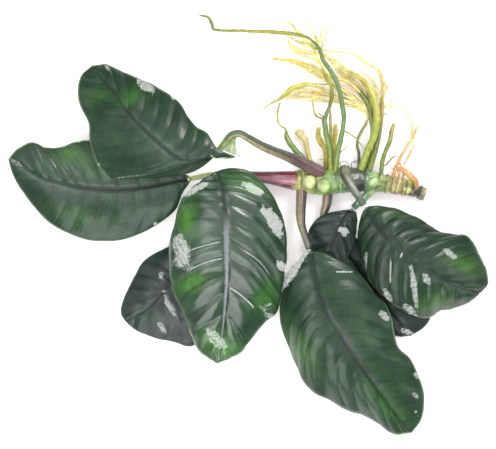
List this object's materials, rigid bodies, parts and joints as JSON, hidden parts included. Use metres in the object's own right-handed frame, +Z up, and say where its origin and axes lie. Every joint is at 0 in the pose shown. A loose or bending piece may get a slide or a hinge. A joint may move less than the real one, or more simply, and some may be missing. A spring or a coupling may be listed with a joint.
{
  "type": "bare-root anubias plant",
  "caption": "Bare-root aquarium plant lying flat: a creeping rhizome with stalked, quilted oval leaves on one side and a tuft of main roots on the other.",
  "frame": {"origin": "on the table, under the middle of the plant's bounding box", "axes": "+X from the leaves on the viewer's left to those on the right, +Y from the leaf tips to the roots, which is up in the picture, +Z up from the table"},
  "size_m": [0.2396, 0.2098, 0.0367],
  "materials": {
    "leaf": "wet waxy upper side, paler and duller below",
    "leaf_dark": "older darker leaves, wet and waxy",
    "stalk_green": "smooth wet leaf stalk",
    "stalk_red": "smooth wet leaf stalk, dark red",
    "stalk_purple": "smooth wet leaf stalk, grey purple",
    "stalk_brown": "leaf stalk with torn brown sheath",
    "rhizome": "smooth stem with ring scars",
    "root_green": "smooth wet root",
    "root_yellow": "smooth wet root",
    "root_pale": "young root, pale",
    "root_orange": "old root, tan"
  },
  "bodies": {
    "root": {"rhizome": "rhizome", "blade_upper_left": "leaf", "blade_left": "leaf", "blade_centre": "leaf", "blade_low_left": "leaf_dark", "blade_lower_right": "leaf", "blade_small_middle": "leaf_dark", "blade_right": "leaf", "blade_lowest": "leaf_dark", "stalk_upper_left": "stalk_green", "stalk_left": "stalk_green", "stalk_centre": "stalk_red", "stalk_low_left": "stalk_green", "stalk_lower_right": "stalk_purple", "stalk_small_middle": "stalk_green", "stalk_right": "stalk_purple", "stalk_lowest": "stalk_brown", "root_long": "root_green", "root_forked": "root_green", "root_forked_right": "root_yellow", "root_forked_left": "root_yellow", "root_slim": "root_yellow", "root_stub_middle": "root_yellow", "root_stub_bent": "root_yellow", "root_stub_pale": "root_pale", "root_left": "root_green", "root_left_thread": "root_yellow", "root_arch_low": "root_yellow", "root_arch_high": "root_yellow", "root_broad": "root_yellow", "root_broad_right": "root_green", "root_broad_left": "root_green", "root_dark_thin": "root_green", "root_right": "root_green", "root_orange": "root_orange", "root_orange_fork": "root_orange", "root_orange_stub": "root_orange"}
  },
  "joints": []
}
